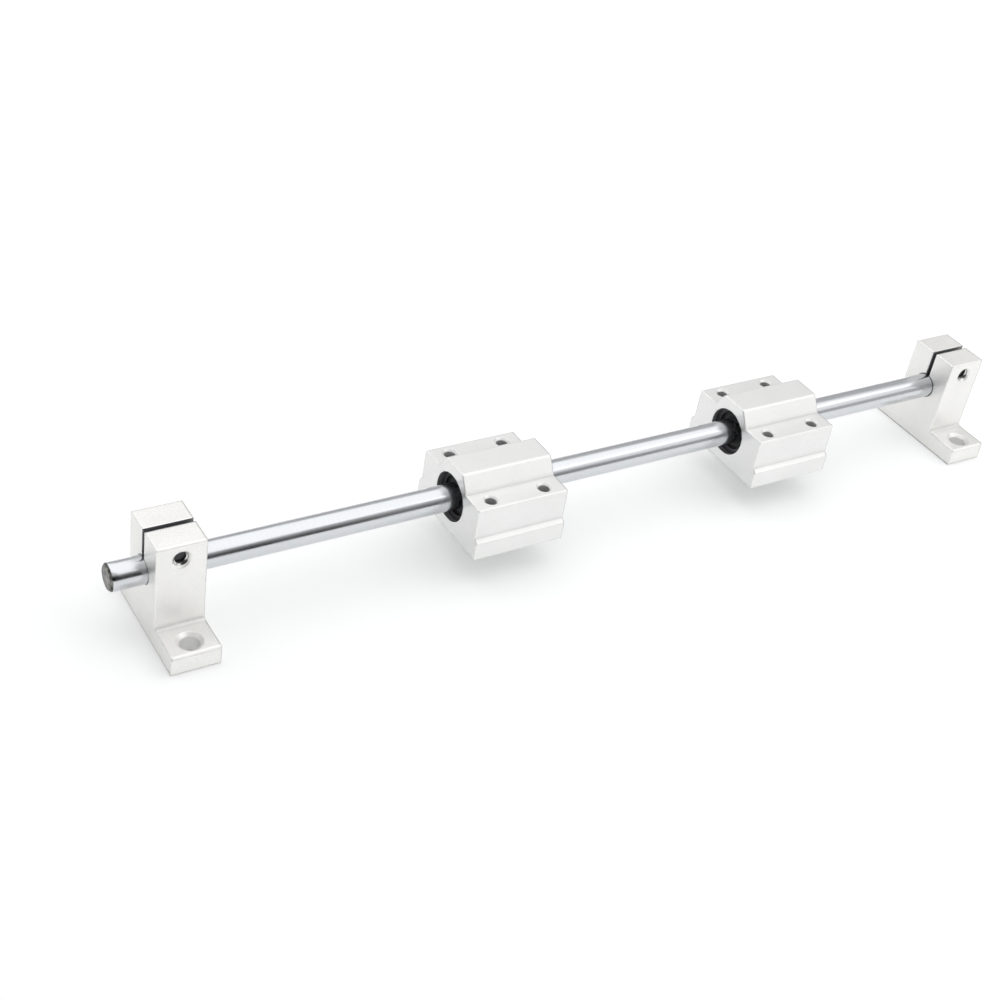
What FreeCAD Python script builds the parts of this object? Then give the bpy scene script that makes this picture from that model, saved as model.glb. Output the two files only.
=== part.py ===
"""Linear shaft rail: a ground round shaft held in two clamp supports, with two ball-bushing
blocks that slide along it and swivel about it.

Frame, in millimetres: +X along the shaft, +Y across it, +Z up. The origin lies on the standing
plane, under the shaft, midway between the two ends of the whole rail.
"""
import FreeCAD
import Part
import math
import os

# Shaft: bar stock, and how it sits in its supports
SHAFT_DIAMETER = 8.0
SHAFT_LENGTH = 300.0
SHAFT_CHAMFER = 0.6
SHAFT_HEIGHT = 20.0           # shaft axis above the standing plane
LEFT_OVERHANG = 9.9           # free stub outside the left support
RIGHT_END_SETBACK = 6.4       # shaft end inside the right support's outer face

# Clamp support
SUPPORT_WIDTH = 42.0
SUPPORT_THICKNESS = 14.0
SUPPORT_BASE_THICKNESS = 6.0
COLUMN_WIDTH = 18.0
CLAMP_SLOT_WIDTH = 1.5
CLAMP_WEB = 1.73              # metal between the shaft bore and the clamp screw's hole
EAR_TOP_WALL = 0.9            # metal above the counterbore
FOOT_HOLE_DIAMETER = 5.5
FOOT_HOLE_SPACING = 32.0
FOOT_HOLE_CHAMFER = 1.0
COLUMN_TOP_CHAMFER = 0.3
SUPPORT_ROOT_FILLET = 1.0
FOOT_TOP_CHAMFER = 0.6
FOOT_BOTTOM_CHAMFER = 0.3

# Clamp screw: socket-head cap screw
SCREW_DIAMETER = 4.0
SCREW_HEAD_DIAMETER = 7.0
SCREW_HEAD_HEIGHT = 4.0
HEX_SOCKET_FLATS = 3.0
HEX_SOCKET_DEPTH = 2.0
SCREW_HEAD_RECESS = 0.4       # head below the ear's face
SCREW_TIP_SETBACK = 1.6       # tip inside the tapped ear's face
TAPPED_MOUTH_CHAMFER = 0.75

# Ball bushing
BEARING_DIAMETER = 15.0
BEARING_LENGTH = 24.0
SLEEVE_WALL = 1.1
SEAL_THICKNESS = 1.5

# Bearing block housing, measured from the shaft axis where a height is meant
BLOCK_END_LIP = 3.0           # housing beyond each end of the bushing
BLOCK_WIDTH = 34.0
MOUNT_FACE_DROP = 11.0        # shaft axis to the flat mounting face
FLANGE_THICKNESS = 5.8
FLANGE_LEDGE = 1.25           # 45 degree step from the flange in to the sides
SHOULDER_RISE = 5.9
HUMP_RISE = 11.0
HUMP_BASE_WIDTH = 15.8
HUMP_TOP_WIDTH = 9.3
BLOCK_HOLE_DIAMETER = 3.4
BLOCK_HOLE_SPACING_X = 18.0
BLOCK_HOLE_SPACING_Y = 24.0
BLOCK_HOLE_CHAMFER = 0.6
BLOCK_EDGE_CHAMFER = 0.25

# Circlip in the housing's bore
CIRCLIP_THICKNESS = 1.0
CIRCLIP_GROOVE_WIDTH = 1.1
CIRCLIP_GROOVE_DEPTH = 0.35
CIRCLIP_BACK_WIDTH = 1.9      # radial width opposite the gap
CIRCLIP_TIP_WIDTH = 1.4       # radial width beside the lugs
CIRCLIP_GAP = 2.0
CIRCLIP_LUG_RADIUS = 1.35
CIRCLIP_GAP_TURN = 135.0      # degrees from +Y towards +Z

# Fits, each a radial or one-sided clearance
CLAMP_FIT = 0.02              # closed clamp on the shaft
BUSHING_RUN = 0.05            # bushing and seals on the shaft
BUSHING_SEAT = 0.05           # bushing in the housing's bore
INSERT_FIT = 0.02             # cage and seals in the sleeve
THREAD_FIT = 0.02             # screw in its tapped ear
SCREW_CLEARANCE = 0.25        # screw in its plain ear
HEAD_CLEARANCE = 0.4          # screw head in its counterbore
CIRCLIP_PLAY = 0.05           # circlip in its groove and beside the bushing

# Where the blocks stand, as shares of the travel from one support to the other
LEFT_BLOCK_SHARE = 0.3297
RIGHT_BLOCK_SHARE = 0.7587

# Derived sizes
shaft_radius = SHAFT_DIAMETER / 2
rail_length = SHAFT_LENGTH + RIGHT_END_SETBACK
shaft_left_end = -rail_length / 2
left_support_x = shaft_left_end + LEFT_OVERHANG + SUPPORT_THICKNESS / 2
right_support_x = rail_length / 2 - SUPPORT_THICKNESS / 2

clamp_bore_radius = shaft_radius + CLAMP_FIT
plain_hole_radius = SCREW_DIAMETER / 2 + SCREW_CLEARANCE
tapped_hole_radius = SCREW_DIAMETER / 2 + THREAD_FIT
counterbore_radius = SCREW_HEAD_DIAMETER / 2 + HEAD_CLEARANCE
counterbore_depth = SCREW_HEAD_HEIGHT + SCREW_HEAD_RECESS
clamp_screw_z = SHAFT_HEIGHT + clamp_bore_radius + CLAMP_WEB + plain_hole_radius
support_height = clamp_screw_z + counterbore_radius + EAR_TOP_WALL
screw_seat_y = COLUMN_WIDTH / 2 - counterbore_depth
screw_length = screw_seat_y + COLUMN_WIDTH / 2 - SCREW_TIP_SETBACK

bearing_radius = BEARING_DIAMETER / 2
sleeve_bore_radius = bearing_radius - SLEEVE_WALL
insert_radius = sleeve_bore_radius - INSERT_FIT
running_radius = shaft_radius + BUSHING_RUN

block_length = BEARING_LENGTH + 2 * BLOCK_END_LIP
block_bore_radius = bearing_radius + BUSHING_SEAT
circlip_seat = BEARING_LENGTH / 2 + CIRCLIP_PLAY
circlip_groove_radius = block_bore_radius + CIRCLIP_GROOVE_DEPTH
circlip_outer_radius = circlip_groove_radius - CIRCLIP_PLAY

first_block_x = left_support_x + SUPPORT_THICKNESS / 2 + block_length / 2
last_block_x = right_support_x - SUPPORT_THICKNESS / 2 - block_length / 2
left_block_x = first_block_x + LEFT_BLOCK_SHARE * (last_block_x - first_block_x)
right_block_x = first_block_x + RIGHT_BLOCK_SHARE * (last_block_x - first_block_x)

X_AXIS = FreeCAD.Vector(1, 0, 0)
Y_AXIS = FreeCAD.Vector(0, 1, 0)
Z_AXIS = FreeCAD.Vector(0, 0, 1)
CUT_PAST = 1.0                # how far cutting tools reach past the faces they open


def rod(radius, start, end):
    """Round rod of the given radius from one point to another."""
    span = end - start
    return Part.makeCylinder(radius, span.Length, start, span)


def cone(start_radius, end_radius, start, end):
    """Round cone between two points, with a radius at each."""
    span = end - start
    return Part.makeCone(start_radius, end_radius, span.Length, start, span)


def extrusion(outline, length):
    """Bar with a closed (y, z) outline, centred on the YZ plane and cut to length along X."""
    corners = [FreeCAD.Vector(-length / 2, y, z) for y, z in outline]
    face = Part.Face(Part.makePolygon(corners + corners[:1]))
    return face.extrude(X_AXIS * length)


def lengthwise_edges(bar, corners):
    """The extrusion's edges along X that run through the given (y, z) corners or their mirror images."""
    picked = []
    for edge in bar.Edges:
        if abs(edge.tangentAt(edge.FirstParameter).x) < 0.99:
            continue
        middle = edge.CenterOfMass
        for y, z in corners:
            if math.hypot(abs(middle.y) - y, middle.z - z) < 1e-4:
                picked.append(edge)
    return picked


def turned(outline):
    """Ring turned about the X axis from a closed (x, radius) outline."""
    corners = [FreeCAD.Vector(x, 0, radius) for x, radius in outline]
    face = Part.Face(Part.makePolygon(corners + corners[:1]))
    return face.revolve(FreeCAD.Vector(0, 0, 0), X_AXIS, 360)


def ring(start_x, end_x, inner_radius, outer_radius):
    """Plain ring about the X axis between two places along it."""
    corners = [(start_x, inner_radius), (start_x, outer_radius), (end_x, outer_radius), (end_x, inner_radius)]
    return turned(corners)


def make_shaft():
    """Ground bar with a chamfer at each end."""
    half = SHAFT_LENGTH / 2
    small = shaft_radius - SHAFT_CHAMFER
    outline = [
        (-half, 0),
        (-half, small),
        (-half + SHAFT_CHAMFER, shaft_radius),
        (half - SHAFT_CHAMFER, shaft_radius),
        (half, small),
        (half, 0),
    ]
    return turned(outline)


def make_support():
    """T-shaped extrusion: a foot with two bolt holes and a column split down to the shaft's bore."""
    foot_y = SUPPORT_WIDTH / 2
    column_y = COLUMN_WIDTH / 2
    right_side = [
        (foot_y, 0),
        (foot_y, SUPPORT_BASE_THICKNESS),
        (column_y, SUPPORT_BASE_THICKNESS),
        (column_y, support_height),
    ]
    left_side = [(-y, z) for y, z in reversed(right_side)]
    body = extrusion(right_side + left_side, SUPPORT_THICKNESS)
    foot_bottom, foot_top, root, column_top = right_side
    body = body.makeFillet(SUPPORT_ROOT_FILLET, lengthwise_edges(body, [root]))
    body = body.makeChamfer(COLUMN_TOP_CHAMFER, lengthwise_edges(body, [column_top]))
    body = body.makeChamfer(FOOT_TOP_CHAMFER, lengthwise_edges(body, [foot_top]))
    body = body.makeChamfer(FOOT_BOTTOM_CHAMFER, lengthwise_edges(body, [foot_bottom]))
    return body.cut(clamp_bore() + clamp_screw_holes() + foot_holes())


def clamp_bore():
    """Cutters for the shaft's bore and for the slot above it."""
    past_x = SUPPORT_THICKNESS / 2 + CUT_PAST
    axis = Z_AXIS * SHAFT_HEIGHT
    bore = rod(clamp_bore_radius, axis - X_AXIS * past_x, axis + X_AXIS * past_x)
    slot = Part.makeBox(
        2 * past_x,
        CLAMP_SLOT_WIDTH,
        support_height + CUT_PAST - SHAFT_HEIGHT,
        FreeCAD.Vector(-past_x, -CLAMP_SLOT_WIDTH / 2, SHAFT_HEIGHT),
    )
    return [bore, slot]


def clamp_screw_holes():
    """Cutters across the split: counterbore and plain hole in the far ear, tapped hole in the near one."""
    middle = FreeCAD.Vector(0, 0, clamp_screw_z)
    face = Y_AXIS * (COLUMN_WIDTH / 2)
    past = Y_AXIS * CUT_PAST
    plain = rod(plain_hole_radius, middle, middle + face + past)
    counterbore = rod(counterbore_radius, middle + Y_AXIS * screw_seat_y, middle + face + past)
    tapped = rod(tapped_hole_radius, middle - face - past, middle)
    mouth = cone(
        tapped_hole_radius + TAPPED_MOUTH_CHAMFER,
        tapped_hole_radius,
        middle - face,
        middle - face + Y_AXIS * TAPPED_MOUTH_CHAMFER,
    )
    return [plain, counterbore, tapped, mouth]


def foot_holes():
    """Cutters for the two bolt holes through the foot, each chamfered at its top."""
    radius = FOOT_HOLE_DIAMETER / 2
    cutters = []
    for side in (-1, 1):
        bottom = FreeCAD.Vector(0, side * FOOT_HOLE_SPACING / 2, 0)
        top = bottom + Z_AXIS * SUPPORT_BASE_THICKNESS
        cutters.append(rod(radius, bottom - Z_AXIS * CUT_PAST, top + Z_AXIS * CUT_PAST))
        cutters.append(cone(radius, radius + FOOT_HOLE_CHAMFER, top - Z_AXIS * FOOT_HOLE_CHAMFER, top))
    return cutters


def make_clamp_screw():
    """Cap screw lying along Y: head in the counterbore, tip inside the tapped ear."""
    seat = FreeCAD.Vector(0, screw_seat_y, clamp_screw_z)
    crown = seat + Y_AXIS * SCREW_HEAD_HEIGHT
    tip = seat - Y_AXIS * screw_length
    head = rod(SCREW_HEAD_DIAMETER / 2, seat, crown)
    shank = rod(SCREW_DIAMETER / 2, tip, seat)
    screw = head.fuse(shank).removeSplitter()

    corner_radius = HEX_SOCKET_FLATS / math.sqrt(3)
    corners = []
    for step in range(7):
        turn = math.radians(60 * step)
        across = FreeCAD.Vector(math.cos(turn), 0, math.sin(turn)) * corner_radius
        corners.append(crown + across)
    socket = Part.Face(Part.makePolygon(corners)).extrude(Y_AXIS * -HEX_SOCKET_DEPTH)
    return screw.cut(socket)


def make_housing():
    """Block extrusion round the shaft axis: flange below, humped bearing tunnel above."""
    flange_y = BLOCK_WIDTH / 2
    side_y = flange_y - FLANGE_LEDGE
    flange_top = FLANGE_THICKNESS - MOUNT_FACE_DROP
    flange_bottom_corner = (flange_y, -MOUNT_FACE_DROP)
    flange_top_corner = (flange_y, flange_top)
    side_foot = (side_y, flange_top + FLANGE_LEDGE)
    shoulder_corner = (side_y, SHOULDER_RISE)
    hump_foot = (HUMP_BASE_WIDTH / 2, SHOULDER_RISE)
    hump_corner = (HUMP_TOP_WIDTH / 2, HUMP_RISE)
    right_side = [flange_bottom_corner, flange_top_corner, side_foot, shoulder_corner, hump_foot, hump_corner]
    left_side = [(-y, z) for y, z in reversed(right_side)]
    body = extrusion(right_side + left_side, block_length)
    outer_corners = [flange_bottom_corner, shoulder_corner, hump_corner]
    body = body.makeChamfer(BLOCK_EDGE_CHAMFER, lengthwise_edges(body, outer_corners))
    return body.cut([bearing_bore()] + block_holes())


def bearing_bore():
    """Cutter for the housing's bore, with its two circlip grooves."""
    past = block_length / 2 + CUT_PAST
    groove_start = circlip_seat - CIRCLIP_PLAY
    groove_end = groove_start + CIRCLIP_GROOVE_WIDTH
    right_half = [
        (groove_start, block_bore_radius),
        (groove_start, circlip_groove_radius),
        (groove_end, circlip_groove_radius),
        (groove_end, block_bore_radius),
        (past, block_bore_radius),
        (past, 0),
    ]
    left_half = [(-x, radius) for x, radius in reversed(right_half)]
    return turned(left_half + right_half)


def block_holes():
    """Cutters for the four screw holes, from the mounting face up to a chamfer at each shoulder."""
    radius = BLOCK_HOLE_DIAMETER / 2
    cutters = []
    for x in (-BLOCK_HOLE_SPACING_X / 2, BLOCK_HOLE_SPACING_X / 2):
        for y in (-BLOCK_HOLE_SPACING_Y / 2, BLOCK_HOLE_SPACING_Y / 2):
            bottom = FreeCAD.Vector(x, y, -MOUNT_FACE_DROP)
            top = FreeCAD.Vector(x, y, SHOULDER_RISE)
            cutters.append(rod(radius, bottom - Z_AXIS * CUT_PAST, top + Z_AXIS * CUT_PAST))
            cutters.append(cone(radius, radius + BLOCK_HOLE_CHAMFER, top - Z_AXIS * BLOCK_HOLE_CHAMFER, top))
    return cutters


def make_sleeve():
    """Bushing's hardened sleeve: a ground tube."""
    end = BEARING_LENGTH / 2
    return ring(-end, end, sleeve_bore_radius, bearing_radius)


def make_cage():
    """Bushing's cage as a plain ring between the two seals."""
    end = BEARING_LENGTH / 2 - SEAL_THICKNESS - INSERT_FIT
    return ring(-end, end, running_radius, insert_radius)


def make_seal(side):
    """Rubber ring inside the sleeve's end on the given side, flush with it."""
    outer = side * BEARING_LENGTH / 2
    inner = outer - side * SEAL_THICKNESS
    return ring(inner, outer, running_radius, insert_radius)


def make_circlip(side):
    """Internal circlip just outside the bushing's end: a tapering ring, open between two lugs."""
    inner_radius = circlip_outer_radius - (CIRCLIP_BACK_WIDTH + CIRCLIP_TIP_WIDTH) / 2
    inner_shift = (CIRCLIP_BACK_WIDTH - CIRCLIP_TIP_WIDTH) / 2
    near = FreeCAD.Vector(circlip_seat, 0, 0)
    far = near + X_AXIS * CIRCLIP_THICKNESS
    past = X_AXIS * CUT_PAST
    shift = Y_AXIS * inner_shift
    clip = rod(circlip_outer_radius, near, far)
    clip = clip.cut(rod(inner_radius, near + shift - past, far + shift + past))

    lug_z = CIRCLIP_GAP / 2 + CIRCLIP_LUG_RADIUS
    lug_reach = block_bore_radius - CIRCLIP_PLAY - CIRCLIP_LUG_RADIUS
    lug_y = math.sqrt(lug_reach ** 2 - lug_z ** 2)
    for z in (-lug_z, lug_z):
        lug = FreeCAD.Vector(0, lug_y, z)
        clip = clip.fuse(rod(CIRCLIP_LUG_RADIUS, near + lug, far + lug))
    gap = Part.makeBox(
        CIRCLIP_THICKNESS + 2 * CUT_PAST,
        circlip_outer_radius + CUT_PAST,
        CIRCLIP_GAP,
        near - past - Z_AXIS * (CIRCLIP_GAP / 2),
    )
    clip = clip.cut(gap).removeSplitter()
    clip.rotate(FreeCAD.Vector(0, 0, 0), X_AXIS, CIRCLIP_GAP_TURN)
    if side < 0:
        clip = clip.mirror(FreeCAD.Vector(0, 0, 0), X_AXIS)
    return clip


def write(name, shape, x=0.0, z=0.0):
    """Move a finished piece along X and Z to its place and write it out."""
    placed = shape.copy()
    placed.translate(FreeCAD.Vector(x, 0, z))
    solids = placed.Solids
    if len(solids) != 1 or not placed.isValid():
        raise ValueError("%s is not one valid solid" % name)
    solids[0].exportStep("parts/%s.step" % name)


os.makedirs("parts", exist_ok=True)

write("shaft", make_shaft(), shaft_left_end + SHAFT_LENGTH / 2, SHAFT_HEIGHT)
for place, x in (("left", left_support_x), ("right", right_support_x)):
    write("support_" + place, make_support(), x)
    write("clamp_screw_" + place, make_clamp_screw(), x)
for place, x in (("left", left_block_x), ("right", right_block_x)):
    write("housing_" + place, make_housing(), x, SHAFT_HEIGHT)
    write("bearing_sleeve_" + place, make_sleeve(), x, SHAFT_HEIGHT)
    write("ball_cage_" + place, make_cage(), x, SHAFT_HEIGHT)
    for number, side in (("1", -1), ("2", 1)):
        write("seal_" + place + "_" + number, make_seal(side), x, SHAFT_HEIGHT)
        write("circlip_" + place + "_" + number, make_circlip(side), x, SHAFT_HEIGHT)
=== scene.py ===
import bpy
import math
import numpy as np
from mathutils import Matrix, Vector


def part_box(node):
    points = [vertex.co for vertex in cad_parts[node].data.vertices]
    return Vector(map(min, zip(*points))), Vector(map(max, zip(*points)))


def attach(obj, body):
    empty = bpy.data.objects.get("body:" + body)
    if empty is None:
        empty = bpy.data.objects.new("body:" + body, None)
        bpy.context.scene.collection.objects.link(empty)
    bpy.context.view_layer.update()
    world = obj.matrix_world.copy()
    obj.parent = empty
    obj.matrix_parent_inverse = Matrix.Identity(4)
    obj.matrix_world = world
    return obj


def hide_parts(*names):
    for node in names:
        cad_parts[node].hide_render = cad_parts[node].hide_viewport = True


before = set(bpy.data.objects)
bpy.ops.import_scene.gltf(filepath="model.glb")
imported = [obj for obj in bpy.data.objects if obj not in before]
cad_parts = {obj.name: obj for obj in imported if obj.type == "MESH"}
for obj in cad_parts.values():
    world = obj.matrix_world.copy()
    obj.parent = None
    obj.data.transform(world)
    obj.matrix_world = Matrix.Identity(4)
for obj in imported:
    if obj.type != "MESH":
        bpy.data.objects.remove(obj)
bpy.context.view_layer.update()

# Shaft
# A round steel bar, hard-chrome plated and centreless ground, sawn to length and chamfered on a lathe.
# The two supports clamp it near its ends.


def linear(colour):
    """An sRGB hex colour as the linear RGBA of a shader: each channel goes back through the sRGB curve."""
    channels = np.array([int(colour[i:i + 2], 16) for i in (1, 3, 5)]) / 255
    straight = channels / 12.92
    curved = ((channels + 0.055) / 1.055) ** 2.4
    return (*np.where(channels <= 0.04045, straight, curved).tolist(), 1.0)


def add(tree, kind, inputs=(), **settings):
    """Add a node to a tree.

    Settings are the node's own properties and inputs its sockets' values; an input that is itself a socket is linked.
    """
    node = tree.nodes.new("ShaderNode" + kind)
    for name, value in settings.items():
        setattr(node, name, value)
    for socket, value in dict(inputs).items():
        if isinstance(value, bpy.types.NodeSocket):
            tree.links.new(value, node.inputs[socket])
        else:
            node.inputs[socket].default_value = value
    return node


def empty_material(name):
    """A new material with nothing in its node tree yet."""
    made = bpy.data.materials.new(name)
    made.use_nodes = True
    made.node_tree.nodes.clear()
    return made


def skin(name, shells, finish):
    """A piece of one or more closed surfaces, each given as its rings (ring, place round it, xyz) and its poles.

    Quads join each ring to the next, turning with the ring. With two poles, a fan of triangles closes the first ring
    to the first pole and the last ring to the second one; with None for poles, the last ring joins the first.
    """
    sharp_degrees = 32
    points = np.zeros((0, 3))
    faces = []
    for rings, poles in shells:
        count, around = rings.shape[:2]
        index = len(points) + np.arange(count * around).reshape(count, around)
        ahead = np.roll(index, -1, axis=1)
        points = np.vstack([points, rings.reshape(-1, 3)])
        if poles is None:
            near, far = slice(None), np.roll(np.arange(count), -1)
        else:
            near, far = slice(0, count - 1), slice(1, count)
            first = len(points)
            points = np.vstack([points, poles])
            faces += np.stack([ahead[0], index[0], np.full(around, first)], axis=-1).tolist()
            faces += np.stack([index[-1], ahead[-1], np.full(around, first + 1)], axis=-1).tolist()
        faces += np.stack([index[near], ahead[near], ahead[far], index[far]], axis=-1).reshape(-1, 4).tolist()
    mesh = bpy.data.meshes.new(name)
    mesh.from_pydata(points.tolist(), [], faces)
    mesh.shade_smooth()
    mesh.set_sharp_from_angle(angle=math.radians(sharp_degrees))
    mesh.materials.append(finish)
    piece = bpy.data.objects.new(name, mesh)
    bpy.context.scene.collection.objects.link(piece)
    return piece


low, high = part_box("shaft")
shaft_radius = (high.z - low.z) / 2
shaft_z = (high.z + low.z) / 2

# Hard chrome over ground steel: a bluish mirror, blurred a little round the bar by the grinding wheel's marks
hard_chrome = empty_material("hard chrome, centreless ground")
tree = hard_chrome.node_tree
place = add(tree, "TexCoord").outputs["Object"]
along = add(tree, "SeparateXYZ", {0: place}).outputs["X"]
# Grinding marks run round the bar; real ones lie some 0.02 mm apart, drawn at 0.35 mm so that they show
marks = add(tree, "TexNoise", {"W": along, "Scale": 1 / 0.00035, "Detail": 3.0}, noise_dimensions="1D")
clouds = add(tree, "TexNoise", {"Vector": place, "Scale": 1 / 0.012, "Detail": 2.0})
tone = add(
    tree, "Mix",
    {"Factor": marks.outputs[0], "A": linear("#cdcfd3"), "B": linear("#dadcdf")},
    data_type="RGBA",
)
gloss = add(
    tree, "MapRange",
    {"Value": clouds.outputs[0], "From Min": 0.3, "From Max": 0.7, "To Min": 0.17, "To Max": 0.24},
)
ridges = add(tree, "Bump", {"Strength": 0.25, "Distance": 0.000004, "Height": marks.outputs[0]})
chrome = add(
    tree, "BsdfPrincipled",
    {
        "Base Color": tone.outputs["Result"],
        "Metallic": 1.0,
        "Roughness": gloss.outputs[0],
        "Normal": ridges.outputs[0],
    },
)
add(tree, "OutputMaterial", {"Surface": chrome.outputs[0]})

# The sawn and faced ends: bare steel, duller than the chrome, with the facing tool's rings and brown-grey stains
faced_steel = empty_material("faced bar end, bare steel")
tree = faced_steel.node_tree
place = add(tree, "TexCoord").outputs["Object"]
from_axis = add(tree, "VectorMath", {0: place, 1: (0, 0, -shaft_z)})
across = add(tree, "VectorMath", {0: from_axis.outputs[0], 1: (0, 1, 1)}, operation="MULTIPLY")
radius = add(tree, "VectorMath", {0: across.outputs[0]}, operation="LENGTH")
rings_cut = add(
    tree, "TexNoise",
    {"W": radius.outputs["Value"], "Scale": 1 / 0.0003, "Detail": 2.0},
    noise_dimensions="1D",
)
# Stains of about 1.6 mm
stains = add(tree, "TexNoise", {"Vector": place, "Scale": 1 / 0.0016, "Detail": 4.0, "Roughness": 0.65})
stain = add(tree, "MapRange", {"Value": stains.outputs[0], "From Min": 0.36, "From Max": 0.64})
tone = add(
    tree, "Mix",
    {"Factor": stain.outputs[0], "A": linear("#302f2d"), "B": linear("#918f8b")},
    data_type="RGBA",
)
grooves = add(tree, "Bump", {"Strength": 0.5, "Distance": 0.00003, "Height": rings_cut.outputs[0]})
steel = add(
    tree, "BsdfPrincipled",
    {"Base Color": tone.outputs["Result"], "Metallic": 1.0, "Roughness": 0.34, "Normal": grooves.outputs[0]},
)
add(tree, "OutputMaterial", {"Surface": steel.outputs[0]})

chamfer = 0.0006
edge = 0.00006
end_margin = 0.004
bar_rings = 40
bar_steps = 160
# Half of the bar's profile from its end face: distance in from the end, and how far inside the full radius
end_profile = np.array([
    (0.0, 0.0024), (0.0, 0.0012), (0.0, chamfer + edge), (edge * 0.4, chamfer - edge * 0.3),
    (chamfer - edge * 0.4, edge * 0.5), (chamfer + edge, 0.0), (chamfer + 0.002, 0.0),
])
left_end = np.stack([low.x + end_profile[:, 0], shaft_radius - end_profile[:, 1]], axis=1)
right_end = np.stack([high.x - end_profile[::-1, 0], shaft_radius - end_profile[::-1, 1]], axis=1)
along_bar = np.linspace(low.x + end_margin, high.x - end_margin, bar_rings)
middle = np.stack([along_bar, np.full_like(along_bar, shaft_radius)], axis=1)
profile = np.vstack([left_end, middle, right_end])


def turned(profile, axis_z, steps):
    """Rings of a profile of (x, radius) rows turned about the line along X at the given height."""
    turn = np.linspace(0, 2 * np.pi, steps, endpoint=False)
    x = np.repeat(profile[:, :1], steps, axis=1)
    y = profile[:, 1:] * np.cos(turn)
    z = profile[:, 1:] * np.sin(turn) + axis_z
    return np.stack([x, y, z], axis=-1)


bar_ends = [(low.x, 0, shaft_z), (high.x, 0, shaft_z)]
shaft = skin("shaft_bar", [(turned(profile, shaft_z, bar_steps), bar_ends)], hard_chrome)
shaft.data.materials.append(faced_steel)
normals = np.zeros(len(shaft.data.polygons) * 3)
shaft.data.polygons.foreach_get("normal", normals)
# Faces that look along the bar are its bare ends and chamfers
facing_out = np.abs(normals.reshape(-1, 3)[:, 0]) > 0.5
shaft.data.polygons.foreach_set("material_index", facing_out.astype(np.int32))
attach(shaft, "rail")
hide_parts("shaft")

# Supports
# Two lengths of T-shaped aluminium extrusion, drilled, reamed for the shaft and split by a saw above it.
# They are tumbled, bead blasted and clear anodised; two bolts through each foot hold them to the machine.


def blasted_aluminium(name, light, shade):
    """Bead-blasted, clear-anodised aluminium: a soft, broad sheen over a fine grain, with a few dark pits.

    Returns the material, its tree, the Object coordinates, the colour with painted shade in the inner corners, the
    grain's height, the rounded normal and the burnish of the edges, so that a piece can add its own machined places.
    The piece sets the rounding's radius.
    """
    made = empty_material(name)
    tree = made.node_tree
    place = add(tree, "TexCoord").outputs["Object"]
    # Bead marks are about 0.1 mm; drawn at 0.32 mm, the finest that shows in the render
    grain = add(tree, "TexNoise", {"Vector": place, "Scale": 1 / 0.00032, "Detail": 2.0, "Roughness": 0.6})
    clouds = add(tree, "TexNoise", {"Vector": place, "Scale": 1 / 0.009, "Detail": 3.0})
    # Pits of about 0.25 mm, one to every 6 mm cube
    pits = add(tree, "TexVoronoi", {"Vector": place, "Scale": 1 / 0.006})
    pit = add(
        tree, "MapRange",
        {"Value": pits.outputs["Distance"], "From Min": 0.014, "From Max": 0.026, "To Min": 0.45, "To Max": 1.0},
    )
    speckle = add(
        tree, "MapRange",
        {"Value": grain.outputs[0], "From Min": 0.3, "From Max": 0.7, "To Min": 0.0, "To Max": 0.7},
    )
    cloud = add(
        tree, "MapRange",
        {"Value": clouds.outputs[0], "From Min": 0.3, "From Max": 0.7, "To Min": 0.0, "To Max": 0.3},
    )
    mottle = add(tree, "Math", {0: speckle.outputs[0], 1: cloud.outputs[0]}, operation="ADD")
    tone = add(
        tree, "Mix",
        {"Factor": mottle.outputs[0], "A": linear(shade), "B": linear(light)},
        data_type="RGBA",
    )
    # Painted shade: the colour darkens in the inner corners, about 0.5 mm wide, where little light reaches
    openness = add(tree, "AmbientOcclusion", {"Distance": 0.0016}, samples=8, only_local=True).outputs["AO"]
    pits_and_corner_shade = add(
        tree, "MapRange",
        {"Value": openness, "From Min": 0.6, "From Max": 0.92, "To Min": 0.35, "To Max": 1.0},
    )
    pits_and_corner_shade = add(tree, "Math", {0: pit.outputs[0], 1: pits_and_corner_shade.outputs[0]}, operation="MULTIPLY")
    pitted_and_shaded = add(
        tree, "VectorMath",
        {0: tone.outputs["Result"], "Scale": pits_and_corner_shade.outputs[0]},
        operation="SCALE",
    )
    rounded = add(tree, "Bevel", samples=8)
    # Handling burnishes the outer edges: there the rounded normal leans away from the face's own
    face_way = add(tree, "NewGeometry").outputs["True Normal"]
    lean = add(tree, "VectorMath", {0: rounded.outputs[0], 1: face_way}, operation="DOT_PRODUCT")
    burnish = add(
        tree, "MapRange",
        {"Value": lean.outputs["Value"], "From Min": 0.93, "From Max": 0.995, "To Min": 1.0, "To Max": 0.0},
    )
    outer = add(tree, "MapRange", {"Value": openness, "From Min": 0.75, "From Max": 0.95})
    burnish = add(tree, "Math", {0: burnish.outputs[0], 1: outer.outputs[0]}, operation="MULTIPLY")
    return made, tree, place, pitted_and_shaded.outputs[0], grain.outputs[0], rounded.outputs[0], burnish.outputs[0]


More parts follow.
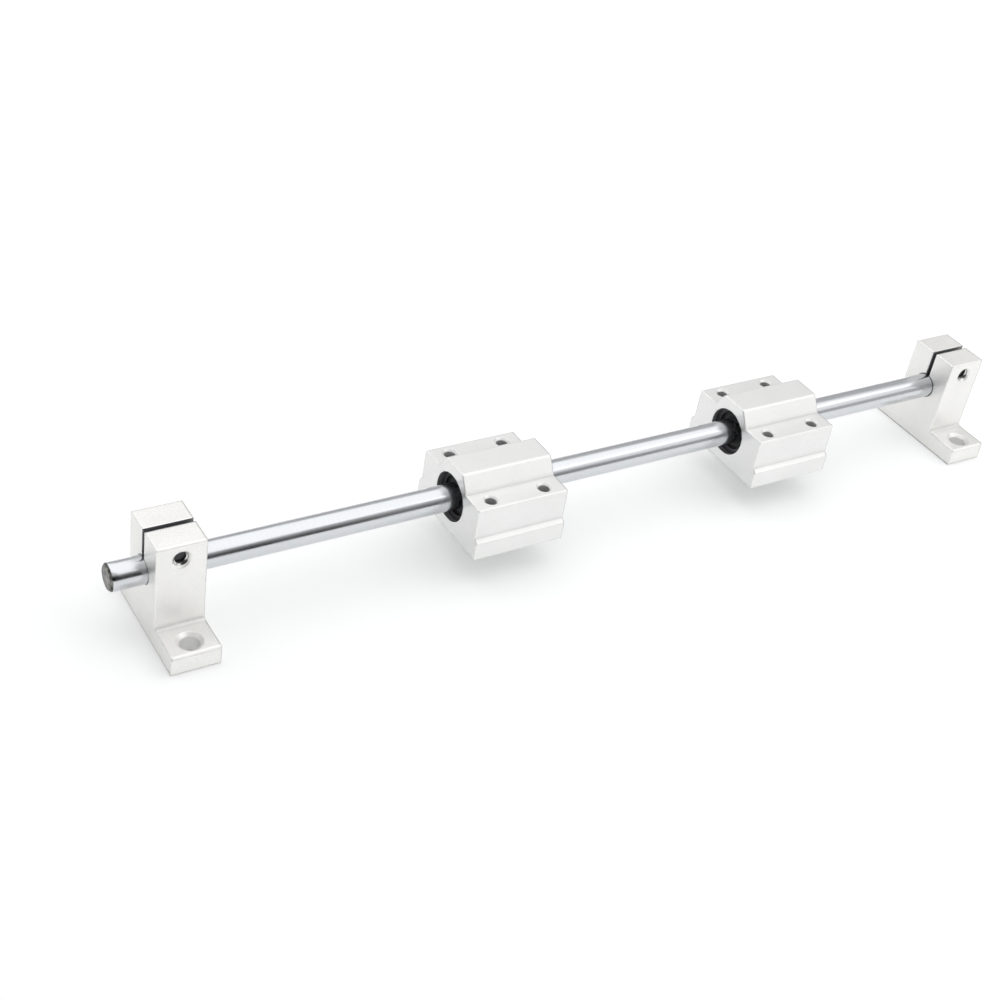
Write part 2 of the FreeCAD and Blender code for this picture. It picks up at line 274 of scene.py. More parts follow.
def support_finish(name, centre_x):
    """Blasted aluminium with a sawn slot, a screw hole and foot holes, and painted shade in the slot, the screw hole,
    round the bar and along the table.
    """
    screw_height = 0.028
    tapped_radius = 0.00206
    half_slot = 0.00077
    foot_hole_side = 0.016
    foot_hole_radius = 0.00278
    half_length = 0.00695
    made, tree, place, colour, grain, rounded, burnish = blasted_aluminium(name, "#f9f8f6", "#e5e4e2")
    here = add(tree, "VectorMath", {0: place, 1: (-centre_x, 0, 0)}).outputs[0]
    # Screw hole: distance from the line along Y at the clamp screw's height
    screw_line = add(tree, "VectorMath", {0: here, 1: (0, 0, -screw_height)}).outputs[0]
    screw_line = add(tree, "VectorMath", {0: screw_line, 1: (1, 0, 1)}, operation="MULTIPLY").outputs[0]
    screw_line = add(tree, "VectorMath", {0: screw_line}, operation="LENGTH").outputs["Value"]
    tapped = add(tree, "Math", {0: screw_line, 1: tapped_radius}, operation="LESS_THAN").outputs[0]
    # Slot: near the middle plane and above the shaft
    parts = add(tree, "SeparateXYZ", {0: here})
    middle = add(tree, "Math", {0: parts.outputs["Y"]}, operation="ABSOLUTE").outputs[0]
    slot = add(tree, "Math", {0: middle, 1: half_slot}, operation="LESS_THAN").outputs[0]
    over = add(tree, "Math", {0: parts.outputs["Z"], 1: shaft_z}, operation="GREATER_THAN").outputs[0]
    slot = add(tree, "Math", {0: slot, 1: over}, operation="MULTIPLY").outputs[0]
    # Painted shadow: a dark ring within 0.3 mm of the bar where it leaves the bore, standing in for the shade in the
    # gap round the bar
    bar_line = add(tree, "VectorMath", {0: here, 1: (0, 0, -shaft_z)}).outputs[0]
    bar_line = add(tree, "VectorMath", {0: bar_line, 1: (0, 1, 1)}, operation="MULTIPLY").outputs[0]
    bar_line = add(tree, "VectorMath", {0: bar_line}, operation="LENGTH").outputs["Value"]
    painted_gap_shadow = add(
        tree, "MapRange",
        {"Value": bar_line, "From Min": 0.00418, "From Max": 0.00436, "To Min": 1.0, "To Max": 0.0},
    )
    # Foot holes: distance from the two upright lines through them
    beside = add(tree, "Math", {0: middle, 1: foot_hole_side}, operation="SUBTRACT").outputs[0]
    foot_line = add(tree, "CombineXYZ", {"X": parts.outputs["X"], "Y": beside}).outputs[0]
    foot_line = add(tree, "VectorMath", {0: foot_line}, operation="LENGTH").outputs["Value"]
    drilled = add(tree, "Math", {0: foot_line, 1: foot_hole_radius}, operation="LESS_THAN").outputs[0]
    # The outer edges are tumbled to about 0.8 mm, the rims of the holes only to 0.3 mm
    tumbled = add(
        tree, "MapRange",
        {"Value": foot_line, "From Min": 0.0038, "From Max": 0.005, "To Min": 0.0003, "To Max": 0.0008},
    )
    tree.links.new(tumbled.outputs[0], rounded.node.inputs["Radius"])
    # Painted shadow: a dark line along the sides' bottom edge, where they curl under to the table
    painted_contact_shadow = add(
        tree, "MapRange",
        {"Value": parts.outputs["Z"], "From Min": 0.0002, "From Max": 0.0006, "To Min": 0.5, "To Max": 0.0},
    )
    face_way = add(tree, "NewGeometry").outputs["True Normal"]
    face_up = add(tree, "SeparateXYZ", {0: face_way}).outputs["Z"]
    upright = add(tree, "Math", {0: face_up, 1: -0.5}, operation="GREATER_THAN").outputs[0]
    painted_contact_shadow = add(tree, "Math", {0: painted_contact_shadow.outputs[0], 1: upright}, operation="MULTIPLY").outputs[0]
    # This mask gathers the machined screw hole and slot, which also take a finer gloss, and the painted shadows. All
    # of it is painted dark grey as shade.
    cut = add(tree, "Math", {0: tapped, 1: slot}, operation="MAXIMUM").outputs[0]
    cut = add(tree, "Math", {0: cut, 1: painted_contact_shadow}, operation="MAXIMUM").outputs[0]
    cut = add(tree, "Math", {0: cut, 1: painted_gap_shadow.outputs[0]}, operation="MAXIMUM").outputs[0]
    bare = add(
        tree, "Mix",
        {"Factor": drilled, "A": colour, "B": linear("#f0f0ef")},
        data_type="RGBA",
    )
    tone = add(
        tree, "Mix",
        {"Factor": cut, "A": bare.outputs["Result"], "B": linear("#77777a")},
        data_type="RGBA",
    )
    machined = add(tree, "Math", {0: cut, 1: drilled}, operation="MAXIMUM").outputs[0]
    gloss = add(tree, "MapRange", {"Value": machined, "To Min": 0.4, "To Max": 0.35})
    gloss = add(tree, "Mix", {"Factor": burnish, "A": gloss.outputs[0], "B": 0.2})
    # The milled ends are more mirror-like than the drawn sides
    along = add(tree, "Math", {0: parts.outputs["X"]}, operation="ABSOLUTE").outputs[0]
    inside = add(tree, "Math", {0: along, 1: half_length}, operation="LESS_THAN").outputs[0]
    shine = add(tree, "MapRange", {"Value": inside, "To Min": 0.65, "To Max": 0.5})
    shine = add(tree, "Mix", {"Factor": burnish, "A": shine.outputs[0], "B": 0.9})
    bump = add(tree, "Bump", {"Strength": 0.3, "Distance": 0.00004, "Height": grain, "Normal": rounded})
    metal = add(
        tree, "BsdfPrincipled",
        {
            "Base Color": tone.outputs["Result"],
            "Metallic": shine.outputs["Result"],
            "Roughness": gloss.outputs["Result"],
            "Normal": bump.outputs[0],
            "Coat Weight": 0.3,
            "Coat Roughness": 0.2,
            "Coat IOR": 1.6,
        },
    )
    add(tree, "OutputMaterial", {"Surface": metal.outputs[0]})
    return made


for side in ("left", "right"):
    low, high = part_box("support_" + side)
    finish = support_finish("anodised aluminium, " + side + " support", (low.x + high.x) / 2)
    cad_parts["support_" + side].data.materials[0] = finish

# Clamp screws
# Black socket-head cap screws, cold headed and thread rolled, with a knurled head and a hexagon socket.
# Each one passes through the counterbored ear and pulls on the tapped one, so its tip shows in the front face.

# Black oxide: a thin dark skin, oiled, with the forging's small dull patches
black_oxide = empty_material("black oxide on steel")
tree = black_oxide.node_tree
place = add(tree, "TexCoord").outputs["Object"]
patches = add(tree, "TexNoise", {"Vector": place, "Scale": 1 / 0.0009, "Detail": 3.0})
tone = add(
    tree, "Mix",
    {"Factor": patches.outputs[0], "A": linear("#38383a"), "B": linear("#58585b")},
    data_type="RGBA",
)
gloss = add(
    tree, "MapRange",
    {"Value": patches.outputs[0], "From Min": 0.3, "From Max": 0.7, "To Min": 0.32, "To Max": 0.5},
)
skin_bump = add(tree, "Bump", {"Strength": 0.2, "Distance": 0.00002, "Height": patches.outputs[0]})
oxide = add(
    tree, "BsdfPrincipled",
    {
        "Base Color": tone.outputs["Result"],
        "Metallic": 1.0,
        "Roughness": gloss.outputs[0],
        "Normal": skin_bump.outputs[0],
    },
)
add(tree, "OutputMaterial", {"Surface": oxide.outputs[0]})

thread_pitch = 0.0007
thread_depth = 0.00043
shank_radius = 0.002
head_radius = 0.0035
head_height = 0.004
socket_flat = 0.0015
socket_depth = 0.0024
screw_steps = 72


def screw_rings(length, steps):
    """Rings of a cap screw along its axis from the tip, as (distance from the tip, angle, radius) arrays.

    Shank: the radius drops from the crest by a triangle wave of (distance / pitch - angle / turn), cut flat at crest
    and root, and is kept under the tip's cone. Head: a profile of radii, whose side is knurled by lowering every
    second step, and whose last rings follow the hexagon: flat / cos(angle from the middle of the nearest flat).
    """
    rings_per_turn = 10
    crest_flat = 0.125
    flank = 0.625
    under_head = 0.0002
    neck = 0.0006
    tip_radius = 0.00145
    tip_slope = 1.1
    knurl_depth = 0.00009
    turn = np.linspace(0, 2 * np.pi, steps, endpoint=False)
    shank = np.linspace(0, length - under_head, int(length / thread_pitch * rings_per_turn))[:, None]
    phase = (shank / thread_pitch - turn / (2 * np.pi)) % 1
    wave = np.clip((np.abs(2 * phase - 1) - crest_flat) / flank, 0, 1)
    runout = np.clip((length - neck - shank) / thread_pitch, 0, 1)
    shank_radii = shank_radius - thread_depth * wave * runout
    shank_radii = np.minimum(shank_radii, tip_radius + shank * tip_slope)

    top = length + head_height
    head = np.array([
        (length, shank_radius), (length, 0.0033), (length + 0.00015, head_radius),
        (top - 0.00045, head_radius), (top - 0.0003, 0.00347), (top - 0.00014, 0.00338), (top - 0.00004, 0.00324),
        (top, 0.00308), (top, 0.00225), (top, 0.00188),
    ])
    knurled = np.zeros((len(head), 1))
    knurled[2:4] = knurl_depth
    head_radii = head[:, 1:] - knurled * (np.arange(steps) % 2)

    nearest_flat = (turn + np.pi / 6) % (np.pi / 3) - np.pi / 6
    hexagon = socket_flat / np.cos(nearest_flat)
    socket = np.array([(top - 0.0001, 1.0), (top - 0.002, 1.0), (top - 0.00205, 0.94), (top - 0.0023, 0.4)])
    socket_radii = socket[:, 1:] * hexagon

    distance = np.concatenate([shank[:, 0], head[:, 0], socket[:, 0]])
    radii = np.vstack([shank_radii, head_radii, socket_radii])
    return np.repeat(distance[:, None], steps, axis=1), np.repeat(turn[None], len(distance), axis=0), radii


for side in ("left", "right"):
    low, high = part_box("clamp_screw_" + side)
    middle_x = (low.x + high.x) / 2
    middle_z = (low.z + high.z) / 2
    distance, turn, radii = screw_rings(high.y - low.y - head_height, screw_steps)
    rings = np.stack(
        [middle_x + radii * np.cos(turn), low.y + distance, middle_z - radii * np.sin(turn)],
        axis=-1,
    )
    poles = [(middle_x, low.y, middle_z), (middle_x, high.y - socket_depth, middle_z)]
    screw = skin("cap_screw_" + side, [(rings, poles)], black_oxide)
    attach(screw, "rail")
    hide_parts("clamp_screw_" + side)

# Tapped threads
# The near ear of each support is tapped for its screw, after the anodising, so the cut metal is bare.
# The thread's first turns show between the countersink and the screw's tip.

# Freshly cut aluminium: bright, with the tap's fine marks along the thread
cut_aluminium = empty_material("tapped aluminium, bare")
tree = cut_aluminium.node_tree
place = add(tree, "TexCoord").outputs["Object"]
tap_marks = add(tree, "TexNoise", {"Vector": place, "Scale": 1 / 0.0002, "Detail": 2.0})
tone = add(
    tree, "Mix",
    {"Factor": tap_marks.outputs[0], "A": linear("#c8c8c8"), "B": linear("#e6e6e5")},
    data_type="RGBA",
)
bump = add(tree, "Bump", {"Strength": 0.2, "Distance": 0.00001, "Height": tap_marks.outputs[0]})
metal = add(
    tree, "BsdfPrincipled",
    {"Base Color": tone.outputs["Result"], "Metallic": 1.0, "Roughness": 0.22, "Normal": bump.outputs[0]},
)
add(tree, "OutputMaterial", {"Surface": metal.outputs[0]})

wall_radius = 0.00204
crest_radius = 0.00166
thread_start = 0.00105
thread_turns = 1.3
thread_steps = 96
rise_turn = 0.8
# The ridge's triangular section as (distance along the hole, radius), with its base in the wall
ridge = np.array([
    (-0.0003, wall_radius), (-0.00004, crest_radius), (0.00004, crest_radius), (0.0003, wall_radius),
])
for side in ("left", "right"):
    low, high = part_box("clamp_screw_" + side)
    middle_x = (low.x + high.x) / 2
    middle_z = (low.z + high.z) / 2
    # The section is wound along the hole: it rises out of the wall at the start and sinks back in at the end
    wound = np.linspace(0, thread_turns * 2 * np.pi, thread_steps)[:, None]
    rise = np.clip(np.minimum(wound, wound[::-1]) / rise_turn, 0.05, 1)
    along = low.y - thread_start + thread_pitch * wound / (2 * np.pi) + ridge[:, 0] * rise
    radius = wall_radius + (ridge[:, 1] - wall_radius) * rise
    rings = np.stack([middle_x + radius * np.cos(wound), along, middle_z - radius * np.sin(wound)], axis=-1)
    thread = skin("tapped_thread_" + side, [(rings, rings[[0, -1]].mean(axis=1))], cut_aluminium)
    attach(thread, "rail")

# Bearing blocks
# Two lengths of a humped aluminium extrusion, bored through for a ball bushing and drilled for four screws.
# The outside is tumbled, bead blasted and clear anodised; the bore and the holes are machined afterwards.


def block_finish(name, centre_x):
    """Blasted aluminium with a turned bore round the shaft's axis, its wall painted dark as shade, and four drilled
    screw holes beside it.
    """
    bore_radius = 0.00795
    half_length = 0.01495
    hole_along = 0.009
    hole_across = 0.012
    hole_radius = 0.00174
    made, tree, place, colour, grain, rounded, burnish = blasted_aluminium(name, "#f0f0ef", "#e4e4e3")
    here = add(tree, "VectorMath", {0: place, 1: (-centre_x, 0, -shaft_z)}).outputs[0]
    parts = add(tree, "SeparateXYZ", {0: here})
    bore_line = add(tree, "VectorMath", {0: here, 1: (0, 1, 1)}, operation="MULTIPLY").outputs[0]
    bore_line = add(tree, "VectorMath", {0: bore_line}, operation="LENGTH").outputs["Value"]
    bored = add(tree, "Math", {0: bore_line, 1: bore_radius}, operation="LESS_THAN").outputs[0]
    from_middle = add(tree, "Math", {0: parts.outputs["X"]}, operation="ABSOLUTE").outputs[0]
    inside = add(tree, "Math", {0: from_middle, 1: half_length}, operation="LESS_THAN").outputs[0]
    bored = add(tree, "Math", {0: bored, 1: inside}, operation="MULTIPLY").outputs[0]
    # Screw holes: distance from the four upright lines through them
    along = add(tree, "Math", {0: from_middle, 1: hole_along}, operation="SUBTRACT").outputs[0]
    across = add(tree, "Math", {0: parts.outputs["Y"]}, operation="ABSOLUTE").outputs[0]
    across = add(tree, "Math", {0: across, 1: hole_across}, operation="SUBTRACT").outputs[0]
    hole_line = add(tree, "CombineXYZ", {"X": along, "Y": across}).outputs[0]
    hole_line = add(tree, "VectorMath", {0: hole_line}, operation="LENGTH").outputs["Value"]
    drilled = add(tree, "Math", {0: hole_line, 1: hole_radius}, operation="LESS_THAN").outputs[0]
    # The outer edges are tumbled to about 0.65 mm, the rims of the screw holes only to 0.25 mm
    tumbled = add(
        tree, "MapRange",
        {"Value": hole_line, "From Min": 0.0024, "From Max": 0.0032, "To Min": 0.00025, "To Max": 0.00065},
    )
    tree.links.new(tumbled.outputs[0], rounded.node.inputs["Radius"])
    # The bore's wall is painted dark grey: painted shade inside the bore, darker than the turned metal itself
    bare = add(
        tree, "Mix",
        {"Factor": bored, "A": colour, "B": linear("#808082")},
        data_type="RGBA",
    )
    tone = add(
        tree, "Mix",
        {"Factor": drilled, "A": bare.outputs["Result"], "B": linear("#c4c4c4")},
        data_type="RGBA",
    )
    # The milled ends are smoother and more mirror-like than the blasted sides
    shine = add(tree, "MapRange", {"Value": inside, "To Min": 0.6, "To Max": 0.45})
    shine = add(tree, "Mix", {"Factor": burnish, "A": shine.outputs[0], "B": 0.9})
    ends = add(tree, "MapRange", {"Value": inside, "To Min": 0.22, "To Max": 0.4})
    gloss = add(tree, "MapRange", {"Value": bored, "To Min": 1.0, "To Max": 0.3})
    gloss = add(tree, "Math", {0: ends.outputs[0], 1: gloss.outputs[0]}, operation="MINIMUM")
    gloss = add(tree, "Mix", {"Factor": burnish, "A": gloss.outputs[0], "B": 0.2})
    bump = add(tree, "Bump", {"Strength": 0.3, "Distance": 0.00004, "Height": grain, "Normal": rounded})
    metal = add(
        tree, "BsdfPrincipled",
        {
            "Base Color": tone.outputs["Result"],
            "Metallic": shine.outputs["Result"],
            "Roughness": gloss.outputs["Result"],
            "Normal": bump.outputs[0],
            "Coat Weight": 0.2,
            "Coat Roughness": 0.2,
            "Coat IOR": 1.6,
        },
    )
    add(tree, "OutputMaterial", {"Surface": metal.outputs[0]})
    return made


for side in ("left", "right"):
    low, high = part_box("housing_" + side)
    finish = block_finish("anodised aluminium, " + side + " block", (low.x + high.x) / 2)
    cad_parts["housing_" + side].data.materials[0] = finish

# Ball bushings
# Each block holds a ball bushing: a ground, hardened steel sleeve with a moulded resin cage for the balls inside.
# Both hide in the bore behind the seals and circlips.

# Ground bearing steel: bright grey, with the wheel's marks running round the sleeve
bearing_steel = empty_material("ground bearing steel")
tree = bearing_steel.node_tree
place = add(tree, "TexCoord").outputs["Object"]
along = add(tree, "SeparateXYZ", {0: place}).outputs["X"]
marks = add(tree, "TexNoise", {"W": along, "Scale": 1 / 0.00025, "Detail": 3.0}, noise_dimensions="1D")
tone = add(
    tree, "Mix",
    {"Factor": marks.outputs[0], "A": linear("#b2b2b4"), "B": linear("#cfcfd0")},
    data_type="RGBA",
)
ridges = add(tree, "Bump", {"Strength": 0.3, "Distance": 0.000006, "Height": marks.outputs[0]})
steel = add(
    tree, "BsdfPrincipled",
    {"Base Color": tone.outputs["Result"], "Metallic": 1.0, "Roughness": 0.24, "Normal": ridges.outputs[0]},
)
add(tree, "OutputMaterial", {"Surface": steel.outputs[0]})

# Acetal: a smooth black moulding with a faint spark-eroded grain
cage_resin = empty_material("moulded acetal, black")
tree = cage_resin.node_tree
place = add(tree, "TexCoord").outputs["Object"]
spark_grain = add(tree, "TexNoise", {"Vector": place, "Scale": 1 / 0.0002, "Detail": 2.0})
tone = add(
    tree, "Mix",
    {"Factor": spark_grain.outputs[0], "A": linear("#1d1d1d"), "B": linear("#272727")},
    data_type="RGBA",
)
bump = add(tree, "Bump", {"Strength": 0.2, "Distance": 0.00002, "Height": spark_grain.outputs[0]})
resin = add(
    tree, "BsdfPrincipled",
    {"Base Color": tone.outputs["Result"], "Roughness": 0.42, "IOR": 1.48, "Normal": bump.outputs[0]},
)
add(tree, "OutputMaterial", {"Surface": resin.outputs[0]})

for side in ("left", "right"):
    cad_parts["bearing_sleeve_" + side].data.materials[0] = bearing_steel
    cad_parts["ball_cage_" + side].data.materials[0] = cage_resin

# Seals
# Black nitrile rings, moulded with a shallow groove and pressed into both ends of each sleeve.
# A thin lip reaches in to the shaft and wipes it clean as the block slides.

# Nitrile rubber: dull black with the mould's fine grain
nitrile = empty_material("nitrile rubber, moulded")
tree = nitrile.node_tree
place = add(tree, "TexCoord").outputs["Object"]
mould_grain = add(tree, "TexNoise", {"Vector": place, "Scale": 1 / 0.00025, "Detail": 2.0})
tone = add(
    tree, "Mix",
    {"Factor": mould_grain.outputs[0], "A": linear("#1e1e1e"), "B": linear("#2c2c2c")},
    data_type="RGBA",
)
bump = add(tree, "Bump", {"Strength": 0.25, "Distance": 0.00002, "Height": mould_grain.outputs[0]})
rubber = add(
    tree, "BsdfPrincipled",
    {"Base Color": tone.outputs["Result"], "Roughness": 0.5, "IOR": 1.52, "Normal": bump.outputs[0]},
)
add(tree, "OutputMaterial", {"Surface": rubber.outputs[0]})

seal_steps = 128
# The ring's section as (depth below its outer face, radius), round from the back of the lip
seal_section = np.array([
    (0.00150, 0.00470), (0.00150, 0.00632), (0.00144, 0.00638), (0.00006, 0.00638), (0.00000, 0.00632),
    (0.00000, 0.00602), (0.00004, 0.00596), (0.00026, 0.00588), (0.00030, 0.00580), (0.00030, 0.00552),
    (0.00026, 0.00545), (0.00004, 0.00535), (0.00000, 0.00528), (0.00000, 0.00490), (0.00005, 0.00482),
    (0.00040, 0.00420), (0.00050, 0.00406), (0.00062, 0.00405), (0.00080, 0.00418), (0.00110, 0.00462),
])
for side in ("left", "right"):
    for number, outward in (("1", -1), ("2", 1)):
        low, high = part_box("seal_" + side + "_" + number)
        face_x = low.x if outward < 0 else high.x
        section = np.stack([face_x - outward * seal_section[:, 0], seal_section[:, 1]], axis=1)
        if outward < 0:
            section = section[::-1]
        seal = skin("wiper_seal_" + side + "_" + number, [(turned(section, shaft_z, seal_steps), None)], nitrile)
        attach(seal, "bushing_" + side)
        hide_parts("seal_" + side + "_" + number)

# Circlips
# Flat internal snap rings, stamped from spring steel and phosphated black, sprung into grooves in the bore.
# Each one ends in two lugs with eyes for the pliers, and keeps the bushing in its block.

# Phosphate: a dark crystalline coat that takes oil
phosphate = empty_material("phosphated spring steel")
tree = phosphate.node_tree
place = add(tree, "TexCoord").outputs["Object"]
crystals = add(tree, "TexNoise", {"Vector": place, "Scale": 1 / 0.00022, "Detail": 3.0})
tone = add(
    tree, "Mix",
    {"Factor": crystals.outputs[0], "A": linear("#424244"), "B": linear("#616163")},
    data_type="RGBA",
)
bump = add(tree, "Bump", {"Strength": 0.3, "Distance": 0.00003, "Height": crystals.outputs[0]})
coat = add(
    tree, "BsdfPrincipled",
    {"Base Color": tone.outputs["Result"], "Metallic": 1.0, "Roughness": 0.42, "Normal": bump.outputs[0]},
)
add(tree, "OutputMaterial", {"Surface": coat.outputs[0]})

clip_outer = 0.00785
clip_inner = 0.0062
clip_shift = 0.00025
clip_gap = 0.002
lug_radius = 0.00135
lug_eye = 0.0007
lug_reach = 0.00615
gap_way = math.radians(135)
gap_radius = 0.007
clip_steps = 140
lug_steps = 40


def strip_section(inner, outer, near_x, far_x):
    """Rectangles with broken corners between two radii and two ends, as (x, radius) arrays of eight points each."""
    soft = 0.00008
    inner = np.asarray(inner)[:, None]
    outer = np.asarray(outer)[:, None]
    inward = np.array([[soft, 0, 0, soft]])
    radius = np.hstack([inner + inward, outer - inward])
    x = np.array([near_x, near_x + soft, far_x - soft, far_x, far_x, far_x - soft, near_x + soft, near_x])
    return np.repeat(x[None], len(inner), axis=0), radius


for side in ("left", "right"):
    for number, outward in (("1", -1), ("2", 1)):
        low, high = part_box("circlip_" + side + "_" + number)
        # The ring: an inner circle set towards the gap makes it taper from its back to its lugs
        gap_turn = math.asin(clip_gap / 2 / gap_radius)
        turn = np.linspace(gap_turn, 2 * np.pi - gap_turn, clip_steps)
        inner = clip_shift * np.cos(turn) + np.sqrt(clip_inner ** 2 - (clip_shift * np.sin(turn)) ** 2)
        x, radius = strip_section(inner, np.full(len(turn), clip_outer), low.x, high.x)
        turn = turn[:, None] + gap_way
        rings = np.stack([x, radius * np.cos(turn), shaft_z + radius * np.sin(turn)], axis=-1)
        shells = [(rings, rings[[0, -1]].mean(axis=1))]
        # The lugs: a flat ring round each eye, on both sides of the gap
        lug_turn = math.asin((clip_gap / 2 + lug_radius) / lug_reach)
        for lug_way in (gap_way - lug_turn, gap_way + lug_turn):
            turn = np.linspace(0, 2 * np.pi, lug_steps, endpoint=False)[:, None]
            x, radius = strip_section(np.full(lug_steps, lug_eye), np.full(lug_steps, lug_radius), low.x, high.x)
            y = lug_reach * math.cos(lug_way) + radius * np.cos(turn)
            z = lug_reach * math.sin(lug_way) + radius * np.sin(turn) + shaft_z
            shells.append((np.stack([x, y, z], axis=-1), None))
        clip = skin("snap_ring_" + side + "_" + number, shells, phosphate)
        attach(clip, "block_" + side)
        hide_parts("circlip_" + side + "_" + number)

# Floor
# A plain white table with a laminate top, wide enough to fill the view.
# It carries the two feet and takes the object's soft shadow.

# White laminate: matt, with a faint cloudiness; where it is seen, it is lifted towards paper white.
# The lift grows with the distance from the object, where the lamps no longer reach.
laminate = empty_material("white laminate")
tree = laminate.node_tree
place = add(tree, "TexCoord").outputs["Object"]
clouds = add(tree, "TexNoise", {"Vector": place, "Scale": 1 / 0.25, "Detail": 1.0})
tone = add(
    tree, "Mix",
    {"Factor": clouds.outputs[0], "A": linear("#f9fafa"), "B": linear("#fbfcfc")},
    data_type="RGBA",
)
paper = add(tree, "BsdfDiffuse", {"Color": tone.outputs["Result"]})
ray = add(tree, "LightPath")
seen = add(
    tree, "Math",
    {0: ray.outputs["Is Camera Ray"], 1: ray.outputs["Is Glossy Ray"]},
    operation="MAXIMUM",
)
seen = add(
    tree, "Math",
    {0: seen.outputs[0], 1: ray.outputs["Is Transmission Ray"]},
    operation="MAXIMUM",
)
away = add(tree, "VectorMath", {0: place}, operation="LENGTH").outputs["Value"]
lift = add(
    tree, "MapRange",
    {"Value": away, "From Min": 0.45, "From Max": 1.5, "To Min": 0.165, "To Max": 0.85},
    interpolation_type="SMOOTHSTEP",
)
lift = add(tree, "Math", {0: seen.outputs[0], 1: lift.outputs[0]}, operation="MULTIPLY")
glow = add(tree, "Emission", {"Color": (1, 1, 1, 1), "Strength": lift.outputs[0]})
both = add(tree, "AddShader", {0: paper.outputs[0], 1: glow.outputs[0]})
add(tree, "OutputMaterial", {"Surface": both.outputs[0]})

# A flat grid of squares
half_width = 3.0
grid_lines = 13
steps = np.linspace(-half_width, half_width, grid_lines)
floor_x, floor_y = np.meshgrid(steps, steps)
index = np.arange(grid_lines ** 2).reshape(grid_lines, grid_lines)
squares = np.stack([index[:-1, :-1], index[:-1, 1:], index[1:, 1:], index[1:, :-1]], axis=-1).reshape(-1, 4)
floor_mesh = bpy.data.meshes.new("table_top")
floor_points = np.stack([floor_x, floor_y, np.zeros_like(floor_x)], axis=-1).reshape(-1, 3)
floor_mesh.from_pydata(floor_points.tolist(), [], squares.tolist())
floor_mesh.materials.append(laminate)
table_top = bpy.data.objects.new("table_top", floor_mesh)
bpy.context.scene.collection.objects.link(table_top)

# Light
# A white tent: pale grey walls, brighter to the left, with a dim opening low in front where the camera stands.
# A long softbox hangs overhead, from the back left to the front right. A smaller one and an edge light stand to the
# front right, and a fill stands in front.

tent = bpy.data.worlds.new("white tent")
bpy.context.scene.world = tent
tent.use_nodes = True
tree = tent.node_tree
tree.nodes.clear()
direction = add(tree, "TexCoord").outputs["Generated"]
parts = add(tree, "SeparateXYZ", {0: direction})
walls = add(tree, "MapRange", {"Value": parts.outputs["Z"], "To Min": 0.525, "To Max": 0.58})
left_wall = add(
    tree, "MapRange",
    {"Value": parts.outputs["X"], "From Min": -0.7, "From Max": 0.0, "To Min": 1.22, "To Max": 1.0},
    interpolation_type="SMOOTHSTEP",
)
# The opening: how far a direction points to the front, above the floor, and below an edge that rises on the left
front = add(tree, "VectorMath", {0: direction, 1: (-0.25, -0.97, 0.0)}, operation="DOT_PRODUCT")
front = add(
    tree, "MapRange",
    {"Value": front.outputs["Value"], "From Min": 0.53, "From Max": 0.86},
    interpolation_type="SMOOTHSTEP",
)
above = add(
    tree, "MapRange",
    {"Value": parts.outputs["Z"], "From Min": -0.05, "From Max": 0.03},
    interpolation_type="SMOOTHSTEP",
)
raised = add(
    tree, "MapRange",
    {"Value": parts.outputs["X"], "From Min": 0.24, "From Max": 0.4, "To Min": 0.14, "To Max": 0.0},
    interpolation_type="SMOOTHSTEP",
)
lowered = add(tree, "Math", {0: parts.outputs["Z"], 1: raised.outputs[0]}, operation="SUBTRACT")
below = add(
    tree, "MapRange",
    {"Value": lowered.outputs[0], "From Min": 0.46, "From Max": 0.62, "To Min": 1.0, "To Max": 0.0},
    interpolation_type="SMOOTHSTEP",
)
opening = add(tree, "Math", {0: front.outputs[0], 1: above.outputs[0]}, operation="MULTIPLY")
opening = add(tree, "Math", {0: opening.outputs[0], 1: below.outputs[0]}, operation="MULTIPLY")
dimmed = add(tree, "MapRange", {"Value": opening.outputs[0], "To Min": 1.0, "To Max": 0.0})
tent_light = add(tree, "Math", {0: walls.outputs[0], 1: left_wall.outputs[0]}, operation="MULTIPLY")
tent_light = add(tree, "Math", {0: tent_light.outputs[0], 1: dimmed.outputs[0]}, operation="MULTIPLY")
ray = add(tree, "LightPath")
shown = add(
    tree, "Mix",
    {"Factor": ray.outputs["Is Camera Ray"], "A": tent_light.outputs[0], "B": 1.0},
)
cloth = add(tree, "Background", {"Color": (1, 1, 1, 1), "Strength": shown.outputs["Result"]})
add(tree, "OutputWorld", {"Surface": cloth.outputs[0]})

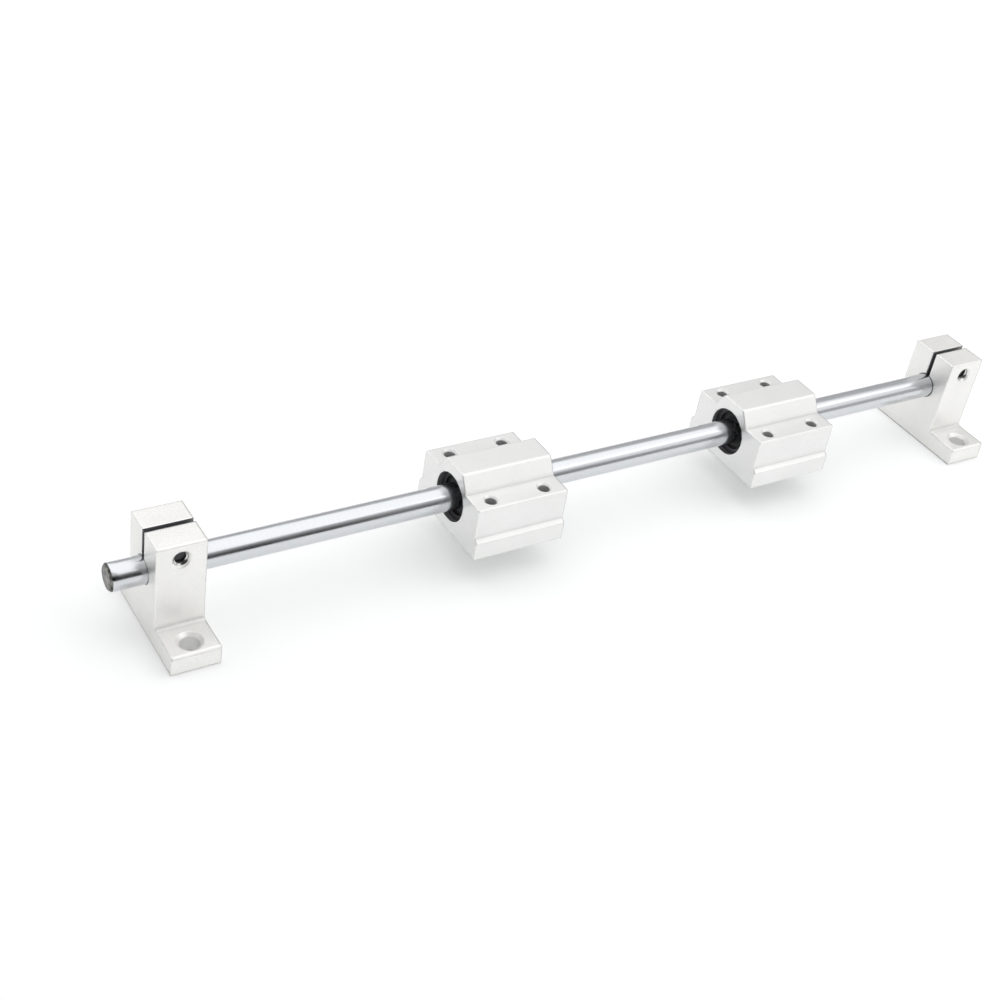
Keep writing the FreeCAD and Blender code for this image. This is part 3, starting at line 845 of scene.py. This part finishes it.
# A flag keeps the edge light and the fill off the bar and the table, which stay as the overhead softbox shows them
flagged = bpy.data.collections.new("flagged")
for piece in (shaft, table_top):
    flagged.objects.link(piece)
for shaded in flagged.collection_objects:
    shaded.light_linking.link_state = "EXCLUDE"

# Name, width and depth in metres, watts, place, turn in degrees, whether flagged, whether seen in the metal
softboxes = (
    ("overhead softbox", 2.2, 1.1, 6.3, (0.05, 0.36, 0.8), (0, 0, -58), False, True),
    ("side softbox", 0.7, 0.6, 0.7, (0.75, -0.5, 0.66), (54, 0, 56), False, True),
    ("edge light", 0.9, 0.5, 1.4, (0.6, -0.95, 0.62), (61, 0, 32), True, True),
    ("front fill", 1.2, 0.75, 4.6, (-0.1, -1.0, 0.35), (72, 0, -6), True, False),
)
for name, width, depth, watts, stand, aim, has_flag, mirrored in softboxes:
    softbox = bpy.data.lights.new(name, "AREA")
    softbox.shape = "RECTANGLE"
    softbox.size = width
    softbox.size_y = depth
    softbox.energy = watts
    softbox_stand = bpy.data.objects.new(name, softbox)
    softbox_stand.location = stand
    softbox_stand.rotation_euler = [math.radians(angle) for angle in aim]
    softbox_stand.visible_camera = False
    softbox_stand.visible_glossy = mirrored
    if has_flag:
        softbox_stand.light_linking.receiver_collection = flagged
    bpy.context.scene.collection.objects.link(softbox_stand)

# Camera
# At the photograph's viewing angle, worked out from a perspective fit of the solids' corners.
# It stands to the left in front, 36 degrees up, rolled 8 degrees.

camera = bpy.data.cameras.new("camera")
camera.sensor_width = 36.0
camera.lens = 58.12
camera.clip_start = 0.01
camera_stand = bpy.data.objects.new("camera", camera)
camera_point = (-0.26501, -0.30952, 0.29585)
right_way = np.array((0.84976, -0.50708, 0.14415))
up_way = np.array((0.20516, 0.56999, 0.79563))
turn = Matrix(np.stack([right_way, up_way, np.cross(right_way, up_way)], axis=1).tolist()).to_4x4()
camera_stand.matrix_world = Matrix.Translation(camera_point) @ turn
bpy.context.scene.collection.objects.link(camera_stand)
bpy.context.scene.camera = camera_stand
bpy.context.scene.view_settings.view_transform = "Standard"
